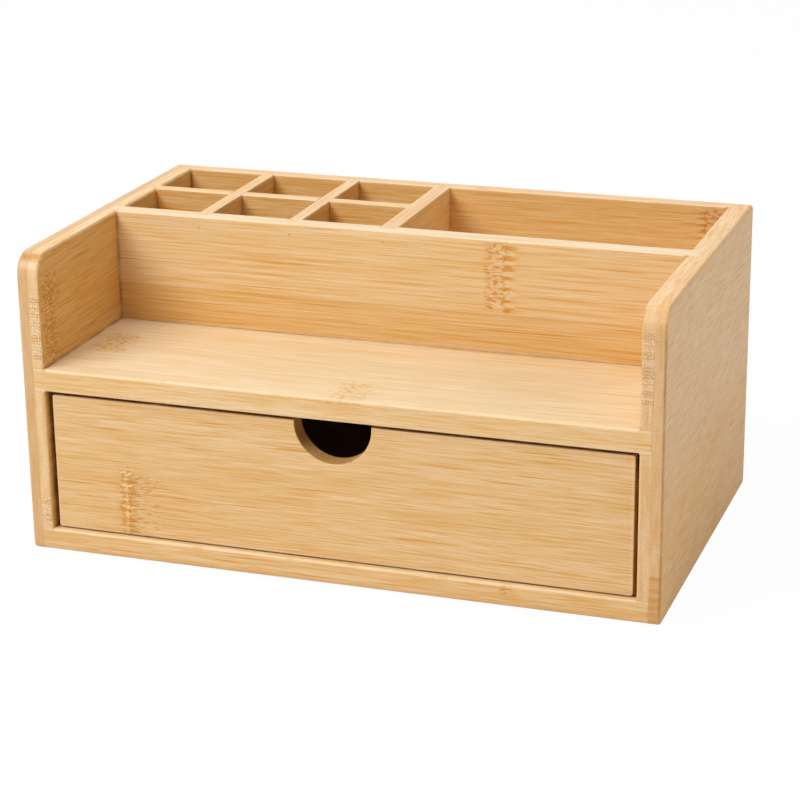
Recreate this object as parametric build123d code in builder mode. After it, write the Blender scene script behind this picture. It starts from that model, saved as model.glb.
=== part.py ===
"""Desk organizer of glued bamboo boards: a front tray over a drawer, with a divided rack behind it.

The case is two side panels with half-depth housings. The shelf, base, tray wall and back panel are
glued into those housings, and their ends show flush in the front and top edges of the side panels.
The rack behind the tray wall is split by an egg-crate grid of thin boards and one thicker
partition. The drawer is a grooved box with a finger notch in its front, and it runs on the base.

Units are millimetres. X runs left to right, Y front to back and Z up. The origin is at the centre
of the footprint, on the surface that the organizer stands on.
"""

from build123d import *
import os

# Case
case_width = 330.0
case_depth = 200.0
case_board = 12.0  # side panels, shelf and base
wall_board = 11.0  # tray wall and back panel
bay_height = 74.0  # clear height of the drawer bay
rack_height = 59.0  # from the shelf to the top edge
tray_depth = 91.5  # open tray in front of the tray wall
shoulder_radius = 12.0  # front top corner of each side panel
corner_radius = 3.0  # other corners of the case, seen from the side
housing_depth = 6.0  # case and wall boards sit this deep in the side panels
edge_round = 1.6  # sanded edges of the case
edge_ease = 0.6  # lightly sanded edges of the thinner boards and of the drawer front
fit = 0.1  # glue line on each face of a joint

# Rack dividers
cell_width = 43.5  # clear width of each small cell
cell_columns = 3
grid_board = 7.0
partition_board = 9.0
grid_housing = 4.0  # dividers sit this deep in the boards that they meet

# Drawer
front_recess = 3.0  # drawer front behind the case's front edge
side_gap = 2.2  # between the drawer and each side of the bay
top_gap = 2.0
front_lift = 0.6  # lower edge of the drawer front above the base
running_gap = 0.2  # drawer sides above the base
stop_gap = 0.3  # closed drawer in front of the back panel
front_board = 10.0
drawer_board = 8.0  # drawer sides and back
side_height = 62.0
front_corner = 1.5  # corners of the drawer front, seen from the front
front_rebate = 6.0  # drawer sides sit this deep in the drawer front
back_rebate = 4.0  # drawer back sits this deep in the drawer sides
bottom_panel = 3.0
bottom_lift = 5.0  # drawer bottom above the sides' lower edges
groove_depth = 4.0
notch_radius = 20.0
notch_drop = 1.0  # centre of the notch below the drawer front's top edge

# Pads under the base
pad_radius = 5.0
pad_height = 1.5
pad_inset = 20.0  # pad centre from the case's outside faces
pad_edge = 0.4

# Places that follow from the sizes above
left, right = -case_width / 2, case_width / 2
front, back = -case_depth / 2, case_depth / 2
inner_left, inner_right = left + case_board, right - case_board
base_bottom = pad_height
bay_floor = base_bottom + case_board
bay_ceiling = bay_floor + bay_height
shelf_top = bay_ceiling + case_board
top = shelf_top + rack_height
wall_front = front + tray_depth
wall_back = wall_front + wall_board
panel_front = back - wall_board

cell_pitch = cell_width + grid_board
divider_lefts = [inner_left + cell_width + n * cell_pitch for n in range(cell_columns - 1)]
divider_spans = [(divider_left, divider_left + grid_board) for divider_left in divider_lefts]
partition_left = inner_left + cell_columns * cell_pitch - grid_board
partition_span = (partition_left, partition_left + partition_board)
grid_front = (wall_back + panel_front - grid_board) / 2
grid_span = (grid_front, grid_front + grid_board)
rack_span = (shelf_top + fit, top)
lap_height = shelf_top + rack_height / 2

drawer_left, drawer_right = inner_left + side_gap, inner_right - side_gap
drawer_front_y = front + front_recess
drawer_inner_y = drawer_front_y + front_board
drawer_side_y = drawer_inner_y - front_rebate + fit
drawer_back_y = panel_front - stop_gap
drawer_bottom_z = bay_floor + front_lift
drawer_top = bay_ceiling - top_gap
runner_span = (bay_floor + running_gap, bay_floor + running_gap + side_height)
groove_low = bay_floor + running_gap + bottom_lift
bottom_span = (groove_low, groove_low + bottom_panel)

finished = {}


def keep(piece, name):
    """Labels a finished sub-part and files it under its name."""
    piece.part.label = name
    finished[name] = piece.part


def block(x_span, y_span, z_span, mode=Mode.ADD):
    """Adds a rectangular block between low and high limits to the open sub-part, or cuts it."""
    spans = (x_span, y_span, z_span)
    with Locations(tuple((low + high) / 2 for low, high in spans)):
        Box(*(high - low for low, high in spans), mode=mode)


def cut(x_span, y_span, z_span):
    """Cuts a housing, rebate, groove or slot from the open sub-part."""
    block(x_span, y_span, z_span, Mode.SUBTRACT)


def loose(span):
    """The span of a housing for a board, with a glue line on each face."""
    low, high = span
    return low - fit, high + fit


def top_edges(axis):
    """The highest edges of the open sub-part that run along an axis."""
    return edges().filter_by(axis).group_by(Axis.Z)[-1]


def case_tongues(y_span, z_span):
    """Adds the square ends that fill the side panels' housings."""
    reach = housing_depth - fit
    block((inner_left - reach, inner_left), y_span, z_span)
    block((inner_right, inner_right + reach), y_span, z_span)


def rack_tongues(x_span):
    """Adds the square ends that fill the housings in the tray wall and the back panel."""
    reach = grid_housing - fit
    block(x_span, (wall_back - reach, wall_back), rack_span)
    block(x_span, (panel_front, panel_front + reach), rack_span)


def rack_housings(y_span):
    """Cuts the housings for the cross dividers and the partition, open at the top."""
    for board_span in (*divider_spans, partition_span):
        cut(loose(board_span), y_span, loose(rack_span))


# Side panels: rounded corners, sanded all round, then housed on the inner face
for hand, outward in (("left", -1), ("right", 1)):
    outer_x = outward * case_width / 2
    inner_x = outer_x - outward * case_board
    housing_x = sorted((inner_x + outward * housing_depth, inner_x - outward * fit))
    grid_x = (inner_x - grid_housing, inner_x + fit)
    with BuildPart() as side_panel:
        with BuildSketch(Plane.YZ.offset(outer_x)):
            with Locations((0, (base_bottom + top) / 2)):
                Rectangle(case_depth, top - base_bottom)
            fillet(vertices().group_by(Axis.Y)[0], corner_radius)
            fillet(vertices().group_by(Axis.Y)[-1].sort_by(Axis.X)[-1], corner_radius)
            fillet(vertices().group_by(Axis.Y)[-1].sort_by(Axis.X)[0], shoulder_radius)
        extrude(amount=-outward * case_board)
        fillet(edges(), edge_round)
        cut(housing_x, loose((front, back)), loose((base_bottom, bay_floor)))
        cut(housing_x, loose((front, back)), loose((bay_ceiling, shelf_top)))
        cut(housing_x, loose((panel_front, back)), loose((base_bottom, top)))
        cut(housing_x, loose((wall_front, wall_back)), loose(rack_span))
        if hand == "left":
            cut(grid_x, loose(grid_span), loose(rack_span))
    keep(side_panel, f"side_panel_{hand}")

# Shelf: the tray's floor, the rack's floor and the drawer bay's roof
shelf_y = (front, panel_front - fit)
with BuildPart() as shelf:
    block((inner_left, inner_right), shelf_y, (bay_ceiling, shelf_top))
    fillet(edges().filter_by(Axis.X).group_by(Axis.Y)[0], edge_round)
    case_tongues(shelf_y, (bay_ceiling, shelf_top))
keep(shelf, "shelf")

# Base: the drawer runs on it
with BuildPart() as base:
    block((inner_left, inner_right), shelf_y, (base_bottom, bay_floor))
    fillet(top_edges(Axis.X).sort_by(Axis.Y)[0], edge_round)
    case_tongues(shelf_y, (base_bottom, bay_floor))
    fillet(edges().filter_by(Axis.X).group_by(Axis.Z)[0].sort_by(Axis.Y)[0], corner_radius)
keep(base, "base")

# Back panel: full height, in the side panels' rear rebates
panel_y = (panel_front, back)
with BuildPart() as back_panel:
    block((inner_left, inner_right), panel_y, (base_bottom, top))
    fillet(top_edges(Axis.X).sort_by(Axis.Y)[0], edge_ease)
    case_tongues(panel_y, (base_bottom, top))
    fillet(edges().filter_by(Axis.X).group_by(Axis.Y)[-1], corner_radius)
    rack_housings((panel_front - fit, panel_front + grid_housing))
keep(back_panel, "back_panel")

# Tray wall: between the open tray and the rack
with BuildPart() as tray_wall:
    block((inner_left, inner_right), (wall_front, wall_back), rack_span)
    fillet(top_edges(Axis.X), edge_ease)
    case_tongues((wall_front, wall_back), rack_span)
    rack_housings((wall_back - grid_housing, wall_back + fit))
keep(tray_wall, "tray_wall")

# Partition: between the small cells and the wide compartment
with BuildPart() as partition:
    block(partition_span, (wall_back, panel_front), rack_span)
    fillet(top_edges(Axis.Y), edge_ease)
    rack_tongues(partition_span)
    cut((partition_left - fit, partition_left + grid_housing), loose(grid_span), loose(rack_span))
keep(partition, "partition")

# Long divider: slotted from above for the cross dividers
grid_reach = grid_housing - fit
with BuildPart() as long_divider:
    block((inner_left, partition_left), grid_span, rack_span)
    fillet(top_edges(Axis.X), edge_ease)
    block((inner_left - grid_reach, inner_left), grid_span, rack_span)
    block((partition_left, partition_left + grid_reach), grid_span, rack_span)
    for divider_span in divider_spans:
        cut(loose(divider_span), loose(grid_span), loose((lap_height, top)))
keep(long_divider, "long_divider")

# Cross dividers: slotted from below to drop over the long divider
for number, divider_span in enumerate(divider_spans, start=1):
    with BuildPart() as cross_divider:
        block(divider_span, (wall_back, panel_front), rack_span)
        fillet(top_edges(Axis.Y), edge_ease)
        rack_tongues(divider_span)
        cut(loose(divider_span), loose(grid_span), loose((shelf_top, lap_height)))
    keep(cross_divider, f"cross_divider_{number}")

# Drawer front: finger notch, rebated ends and a groove for the bottom
with BuildPart() as drawer_front:
    with BuildSketch(Plane.XZ.offset(-drawer_front_y)):
        with Locations((0, (drawer_bottom_z + drawer_top) / 2)):
            Rectangle(drawer_right - drawer_left, drawer_top - drawer_bottom_z)
        fillet(vertices(), front_corner)
        with Locations((0, drawer_top - notch_drop)):
            Circle(notch_radius, mode=Mode.SUBTRACT)
        with Locations((0, drawer_top)):
            Rectangle(2 * notch_radius, 2 * notch_drop, mode=Mode.SUBTRACT)
    extrude(amount=-front_board)
    fillet(faces().sort_by(Axis.Y)[0].edges(), edge_ease)
    rebate_y = (drawer_inner_y - front_rebate, drawer_inner_y + fit)
    cut((drawer_left - fit, drawer_left + drawer_board + fit), rebate_y, (0, top))
    cut((drawer_right - drawer_board - fit, drawer_right + fit), rebate_y, (0, top))
    groove_y = (drawer_inner_y - groove_depth, drawer_inner_y + fit)
    cut((drawer_left, drawer_right), groove_y, loose(bottom_span))
keep(drawer_front, "drawer_front")

# Drawer sides: they run on the base, and carry the bottom and the back
back_y = (drawer_back_y - drawer_board, drawer_back_y)
for hand, outward in (("left", -1), ("right", 1)):
    outer_x = drawer_left if outward < 0 else drawer_right
    inner_x = outer_x - outward * drawer_board
    groove_x = sorted((inner_x + outward * groove_depth, inner_x - outward * fit))
    rebate_x = sorted((inner_x + outward * back_rebate, inner_x - outward * fit))
    with BuildPart() as drawer_side:
        block(sorted((outer_x, inner_x)), (drawer_side_y, drawer_back_y), runner_span)
        fillet(top_edges(Axis.Y), edge_ease)
        cut(groove_x, loose((drawer_side_y, drawer_back_y)), loose(bottom_span))
        cut(rebate_x, loose(back_y), loose(runner_span))
    keep(drawer_side, f"drawer_side_{hand}")

# Drawer back: rebated into the sides, grooved for the bottom
back_reach = drawer_board - back_rebate + fit
with BuildPart() as drawer_back:
    block((drawer_left + back_reach, drawer_right - back_reach), back_y, runner_span)
    fillet(top_edges(Axis.X), edge_ease)
    groove_y = (drawer_back_y - drawer_board - fit, drawer_back_y - drawer_board + groove_depth)
    cut((drawer_left, drawer_right), groove_y, loose(bottom_span))
keep(drawer_back, "drawer_back")

# Drawer bottom: a thin panel held in grooves on all four sides
bottom_reach = drawer_board - groove_depth + fit
with BuildPart() as drawer_bottom:
    block(
        (drawer_left + bottom_reach, drawer_right - bottom_reach),
        (drawer_inner_y - groove_depth + fit, drawer_back_y - bottom_reach),
        bottom_span,
    )
keep(drawer_bottom, "drawer_bottom")

# Pads: one near each corner, stuck under the base
pad_x = case_width / 2 - pad_inset
pad_y = case_depth / 2 - pad_inset
for end, pad_centre_y in (("front", -pad_y), ("back", pad_y)):
    for hand, pad_centre_x in (("left", -pad_x), ("right", pad_x)):
        with BuildPart() as foot_pad:
            with BuildSketch():
                with Locations((pad_centre_x, pad_centre_y)):
                    Circle(pad_radius)
            extrude(amount=pad_height)
            chamfer(edges().group_by(Axis.Z)[0], pad_edge)
        keep(foot_pad, f"foot_pad_{end}_{hand}")

os.makedirs("parts", exist_ok=True)
for name, part in finished.items():
    export_step(part, f"parts/{name}.step")
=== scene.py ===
"""Looks of the bamboo desk organizer: the finish of every board, the brads in the tray wall, and the studio.

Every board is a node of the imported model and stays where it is. Lengths are metres, with X to the
right, -Y to the front and Z up.
"""

import logging
import math
from dataclasses import dataclass, field
from enum import Enum

import bmesh
import bpy
from mathutils import Matrix, Vector


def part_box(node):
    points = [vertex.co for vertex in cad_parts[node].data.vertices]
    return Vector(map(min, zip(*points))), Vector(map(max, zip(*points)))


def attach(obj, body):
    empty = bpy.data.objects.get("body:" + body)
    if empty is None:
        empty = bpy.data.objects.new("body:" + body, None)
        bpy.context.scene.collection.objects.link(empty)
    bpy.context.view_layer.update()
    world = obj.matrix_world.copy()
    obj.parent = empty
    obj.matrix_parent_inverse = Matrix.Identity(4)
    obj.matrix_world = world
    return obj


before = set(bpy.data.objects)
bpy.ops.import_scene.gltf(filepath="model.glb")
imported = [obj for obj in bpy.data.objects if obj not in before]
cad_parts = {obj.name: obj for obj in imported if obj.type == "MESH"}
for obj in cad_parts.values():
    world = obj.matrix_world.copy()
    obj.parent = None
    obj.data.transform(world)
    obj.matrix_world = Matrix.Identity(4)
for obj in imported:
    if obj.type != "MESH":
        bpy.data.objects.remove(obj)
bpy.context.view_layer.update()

log = logging.getLogger("organizer")
MM = 0.001


class Axis(Enum):
    """A direction of the organizer, with its place in a vector."""

    ACROSS = 0
    DEEP = 1
    UP = 2


# --------------------------------------------------------------------------------------------------
# Node trees written as arithmetic
# --------------------------------------------------------------------------------------------------


class Field:
    """A number or a colour that varies over a surface, as an output of a node tree."""

    def __init__(self, tree: "Tree", socket: bpy.types.NodeSocket) -> None:
        """Holds an output.

        Args:
            tree: The tree that it belongs to.
            socket: The output socket.
        """
        self.tree = tree
        self.socket = socket

    def __add__(self, other: "Field | float") -> "Field":
        """Adds."""
        return self.tree.math("ADD", self, other)

    def __sub__(self, other: "Field | float") -> "Field":
        """Subtracts."""
        return self.tree.math("SUBTRACT", self, other)

    def __rsub__(self, other: float) -> "Field":
        """Subtracts this field from a number."""
        return self.tree.math("SUBTRACT", other, self)

    def __mul__(self, other: "Field | float") -> "Field":
        """Multiplies."""
        return self.tree.math("MULTIPLY", self, other)

    def __truediv__(self, other: "Field | float") -> "Field":
        """Divides."""
        return self.tree.math("DIVIDE", self, other)

    def __abs__(self) -> "Field":
        """Takes the size without the sign."""
        return self.tree.math("ABSOLUTE", self)

    def sine(self) -> "Field":
        """Takes the sine."""
        return self.tree.math("SINE", self)

    def at_most(self, other: "Field | float") -> "Field":
        """Takes the smaller of two."""
        return self.tree.math("MINIMUM", self, other)

    def at_least(self, other: "Field | float") -> "Field":
        """Takes the larger of two."""
        return self.tree.math("MAXIMUM", self, other)

    def spread(self, low: float, high: float, first: float, last: float) -> "Field":
        """Maps a stretch of values smoothly to another, and holds the ends.

        Args:
            low: Start of the stretch.
            high: End of the stretch, which may be the smaller.
            first: Result at the start.
            last: Result at the end.

        Returns:
            The mapped field.
        """
        made = self.tree.node("ShaderNodeMapRange", interpolation_type="SMOOTHSTEP")
        for name, value in (("From Min", low), ("From Max", high), ("To Min", first), ("To Max", last)):
            made.inputs[name].default_value = value
        self.tree.feed(made.inputs["Value"], self)
        return Field(self.tree, made.outputs["Result"])

    def rise(self, start: float, end: float) -> "Field":
        """Goes smoothly from 0 at start to 1 at end, where end may be the smaller."""
        return self.spread(start, end, 0.0, 1.0)

    def within(self, low: float, high: float, fade: float) -> "Field":
        """Is 1 between two values, and fades to 0 on the way out to them.

        Args:
            low: Value below which the result is 0.
            high: Value above which the result is 0.
            fade: Length of the fade at both ends.

        Returns:
            A field from 0 to 1.
        """
        return self.rise(low, low + fade) * self.rise(high, high - fade)

    def mix(self, base: "Tone", top: "Tone") -> "Field":
        """Mixes two colours, where this field is the share of the top one.

        Args:
            base: The lower colour.
            top: The upper colour.

        Returns:
            The mixed colour.
        """
        made = self.tree.node("ShaderNodeMix", data_type="RGBA")
        factor, lower, upper = made.inputs[0], made.inputs[6], made.inputs[7]
        for target, value in ((factor, self), (lower, base), (upper, top)):
            self.tree.feed(target, value)
        return Field(self.tree, made.outputs[2])

    def coat(self, tone: "Tone", where: "Field", share: float = 1.0) -> "Field":
        """Lays a thin coat over this colour.

        Args:
            tone: Colour of the coat.
            where: Where the coat lies, from 0 to 1.
            share: How much of it shows where it lies.

        Returns:
            The colour with its coat.
        """
        level = where if share == 1.0 else where * share
        return level.mix(self, tone)


Colour = tuple[float, float, float, float]
Tone = Field | Colour
Box = tuple[Vector, Vector]


class Tree:
    """A node tree, written as arithmetic on fields."""

    def __init__(self, tree: bpy.types.NodeTree) -> None:
        """Empties a node tree.

        Args:
            tree: Blender's tree.
        """
        self.nodes = tree.nodes
        self.links = tree.links
        self.nodes.clear()

    def node(self, kind: str, **settings: object) -> bpy.types.Node:
        """Adds a node and sets its properties.

        Args:
            kind: Blender's name for the node.
            settings: Properties to set.

        Returns:
            The node.
        """
        made = self.nodes.new(kind)
        for name, value in settings.items():
            setattr(made, name, value)
        return made

    def feed(self, target: bpy.types.NodeSocket, value: object) -> None:
        """Links an output to an input, or sets the input to a value.

        Args:
            target: The input.
            value: A field, an output socket or a plain value.
        """
        if isinstance(value, Field):
            value = value.socket
        if isinstance(value, bpy.types.NodeSocket):
            self.links.new(value, target)
        else:
            target.default_value = value

    def math(self, operation: str, *inputs: Field | float) -> Field:
        """Adds a math node.

        Args:
            operation: Blender's name for what it does.
            inputs: What it works on.

        Returns:
            Its result.
        """
        made = self.node("ShaderNodeMath", operation=operation)
        for target, value in zip(made.inputs, inputs):
            self.feed(target, value)
        return Field(self, made.outputs[0])

    def noise(
        self,
        x: Field | float,
        y: Field | float,
        z: Field | float,
        detail: float = 2.0,
        roughness: float = 0.5,
    ) -> Field:
        """Gives soft noise from about 0 to 1, with a mean of a half.

        Args:
            x: First coordinate, scaled so that the noise changes about once in 1.
            y: Second coordinate, scaled in the same way.
            z: Third coordinate, scaled in the same way.
            detail: Octaves of finer noise.
            roughness: Strength of the finer noise.

        Returns:
            The noise.
        """
        made = self.node("ShaderNodeTexNoise")
        made.inputs["Scale"].default_value = 1.0
        made.inputs["Detail"].default_value = detail
        made.inputs["Roughness"].default_value = roughness
        self.feed(made.inputs["Vector"], self._point(x, y, z))
        return Field(self, made.outputs["Fac"])

    def cells(self, x: Field, y: Field, jitter: float) -> Field:
        """Gives the distance to the nearest cell's centre, where the centres lie about whole numbers.

        Args:
            x: First coordinate, scaled to one cell.
            y: Second coordinate, scaled to one cell.
            jitter: How far the centres stray from a square grid, 1 for the most.

        Returns:
            The distance.
        """
        made = self.node("ShaderNodeTexVoronoi", voronoi_dimensions="2D")
        made.inputs["Scale"].default_value = 1.0
        made.inputs["Randomness"].default_value = jitter
        self.feed(made.inputs["Vector"], self._point(x + jitter / 2, y + jitter / 2, 0.0))
        return Field(self, made.outputs["Distance"])

    def ray(self, kind: str) -> Field:
        """Gives 1 for the rays of one kind, such as Camera, and 0 for all others."""
        return Field(self, self.node("ShaderNodeLightPath").outputs[f"Is {kind} Ray"])

    def _point(self, *parts: Field | float) -> Field:
        """Joins three numbers to a vector.

        Args:
            parts: The numbers.

        Returns:
            The vector.
        """
        made = self.node("ShaderNodeCombineXYZ")
        for target, value in zip(made.inputs, parts):
            self.feed(target, value)
        return Field(self, made.outputs[0])


class Recipe(Tree):
    """The node tree of a material with one principled shader."""

    def __init__(self, name: str) -> None:
        """Starts a material.

        Args:
            name: Name of the material.
        """
        self.material = bpy.data.materials.new(name)
        self.material.use_nodes = True
        super().__init__(self.material.node_tree)
        self.shader = self.node("ShaderNodeBsdfPrincipled")
        self.output = self.node("ShaderNodeOutputMaterial")
        self.feed(self.output.inputs["Surface"], self.shader.outputs["BSDF"])

    def set(self, name: str, value: object) -> None:
        """Links or sets an input of the shader."""
        self.feed(self.shader.inputs[name], value)

    def place(self) -> tuple[Field, Field, Field]:
        """Gives the point's place on the piece, in metres, along X, Y and Z."""
        return self._coordinates("Object")

    def facing(self) -> tuple[Field, Field, Field]:
        """Gives the surface's outward direction along X, Y and Z."""
        return self._coordinates("Normal")

    def relief(self, height: Field, depth: float) -> None:
        """Raises the surface.

        Args:
            height: How much each point is raised, from 0 to 1.
            depth: Height in metres where the field is 1.
        """
        made = self.node("ShaderNodeBump")
        made.inputs["Strength"].default_value = 1.0
        made.inputs["Distance"].default_value = depth
        self.feed(made.inputs["Height"], height)
        self.set("Normal", made.outputs["Normal"])

    def _coordinates(self, name: str) -> tuple[Field, Field, Field]:
        """Gives the parts of one of the piece's own coordinates.

        Args:
            name: Blender's name for it.

        Returns:
            Its parts along X, Y and Z.
        """
        split = self.node("ShaderNodeSeparateXYZ")
        self.feed(split.inputs[0], self.node("ShaderNodeTexCoord").outputs[name])
        return tuple(Field(self, socket) for socket in split.outputs)


@dataclass(frozen=True)
class Weave:
    """A noise that is drawn out along the grain.

    Attributes:
        along: How often it changes in a metre along the grain.
        across: How often it changes in a metre across the grain.
        detail: Octaves of finer noise.
        roughness: Strength of the finer noise.
    """

    along: float
    across: float
    detail: float = 1.0
    roughness: float = 0.5

    def lay(self, along: Field, across: Field, cut: Field | float) -> Field:
        """Reads the noise at a point.

        Args:
            along: The point's place along the grain.
            across: Its place across the grain.
            cut: Where the noise is cut through.

        Returns:
            The noise, from about 0 to 1.
        """
        return along.tree.noise(along * self.along, across * self.across, cut, self.detail, self.roughness)


# --------------------------------------------------------------------------------------------------
# Colours
# --------------------------------------------------------------------------------------------------


def linear(red: int, green: int, blue: int) -> Colour:
    """Turns a colour of a paint card into the shader's linear values.

    Args:
        red: Share of red, 0 to 255.
        green: Share of green, 0 to 255.
        blue: Share of blue, 0 to 255.

    Returns:
        The colour, with an alpha of 1.
    """
    channels = []
    for value in (red, green, blue):
        share = value / 255
        channels.append(share / 12.92 if share <= 0.04045 else ((share + 0.055) / 1.055) ** 2.4)
    return (*channels, 1.0)


@dataclass(frozen=True)
class Palette:
    """The colours of one strip of cane.

    Attributes:
        pale: The ground between the fibres.
        body: The ground where it is a little darker.
        streak: The darker bundles of fibres.
        deep: The brown of the marks.
    """

    pale: Tone
    body: Tone
    streak: Tone
    deep: Tone

    def under(self, other: "Palette", share: Field) -> "Palette":
        """Mixes another palette over this one.

        Args:
            other: The upper palette.
            share: How much of it shows.

        Returns:
            The mixed palette.
        """
        mixed = {name: share.mix(tone, getattr(other, name)) for name, tone in vars(self).items()}
        return Palette(**mixed)


class Cane(Enum):
    """The tones of cane that the boards are glued from."""

    CREAM = Palette(linear(234, 213, 183), linear(228, 203, 166), linear(217, 170, 72), linear(196, 142, 60))
    HONEY = Palette(linear(233, 198, 149), linear(226, 185, 127), linear(214, 146, 20), linear(186, 118, 34))
    STRAW = Palette(linear(240, 210, 166), linear(234, 197, 142), linear(220, 155, 24), linear(206, 130, 22))
    AMBER = Palette(linear(235, 198, 142), linear(229, 185, 117), linear(214, 144, 12), linear(186, 118, 28))
    GOLD = Palette(linear(242, 207, 148), linear(237, 193, 125), linear(222, 151, 16), linear(194, 126, 34))
    RUSSET = Palette(linear(216, 173, 110), linear(209, 161, 88), linear(194, 128, 24), linear(172, 104, 20))
    FLAX = Palette(linear(238, 207, 162), linear(232, 193, 138), linear(218, 151, 24), linear(196, 124, 34))
    SAND = Palette(linear(236, 200, 154), linear(230, 188, 131), linear(211, 153, 62), linear(188, 124, 44))
    UMBER = Palette(linear(190, 142, 80), linear(178, 128, 64), linear(156, 104, 36), linear(128, 80, 24))
    TAN = Palette(linear(231, 193, 145), linear(224, 181, 125), linear(206, 144, 52), linear(182, 116, 36))


class Stain(Enum):
    """The colours that are the same on every cane."""

    GLUE = linear(186, 132, 66)
    # Pale cream of the dotted ends, and of the edges, where it is partly sanded wear and partly a painted
    # highlight.
    WORN = linear(240, 212, 170)
    # Painted contact shade, with soil, for the seams and the gaps.
    SOIL = linear(140, 80, 22)
    CLAW = linear(238, 206, 156)
    PORE = linear(116, 66, 20)


@dataclass(frozen=True)
class Spot:
    """The point of a board that is being coloured.

    Attributes:
        shades: The colours of the cane there.
        place: Its place along X, Y and Z.
        along: Its place along the grain.
        across: Its place across the grain, on the board's broad face.
        through: Its place through the board.
    """

    shades: Palette
    place: tuple[Field, Field, Field]
    along: Field
    across: Field
    through: Field


# --------------------------------------------------------------------------------------------------
# What shows on a board
# --------------------------------------------------------------------------------------------------


class Hand(Enum):
    """The way that the flames and flecks of a mark point along the grain."""

    FORWARD = 1.0
    BACK = -1.0


@dataclass(frozen=True)
class Mark:
    """What a joint of the cane leaves on a board.

    Attributes:
        along: Place of its middle along the grain.
        low: Lower edge, across the grain.
        high: Upper edge, across the grain.
        skin: Place of the face that bears it, through the board.
        half_width: Half of its width along the grain.
        strength: How plainly it shows, 1 for a bold one.
    """

    along: float
    low: float
    high: float
    skin: float
    half_width: float
    strength: float

    def paint(self, colour: Field, spot: Spot) -> Field:
        """Paints the mark over a colour."""
        raise NotImplementedError

    def _skin_place(self, spot: Spot) -> Field:
        """Gives the place across the grain, which goes on round the edges of the face that bears the mark."""
        return spot.across + (spot.through - self.skin)

    def _inside(self, place: Field, fade: float) -> Field:
        """Gives the mark's strength between its edges, and 0 beyond them.

        Args:
            place: Place across the grain.
            fade: Length of the fade over each edge.

        Returns:
            The strength.
        """
        return place.within(self.low - fade / 2, self.high + fade / 2, fade) * self.strength


@dataclass(frozen=True)
class Patch:
    """The point that is being coloured, as seen from a mark.

    Attributes:
        shades: The colours of the cane there.
        off: Distance ahead of the mark's middle, along the grain.
        reach: That distance in half widths of the mark.
        skin: Place across the grain.
        ray: Place across the grain of the point of the mark whose ray passes here.
        ragged: Noise about 0 that frays the rims.
        grit: Fine noise that breaks up the colours.
        streams: Noise drawn out along the rays.
        inside: The mark's strength there.
    """

    shades: Palette
    off: Field
    reach: Field
    skin: Field
    ray: Field
    ragged: Field
    grit: Field
    streams: Field
    inside: Field


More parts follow.
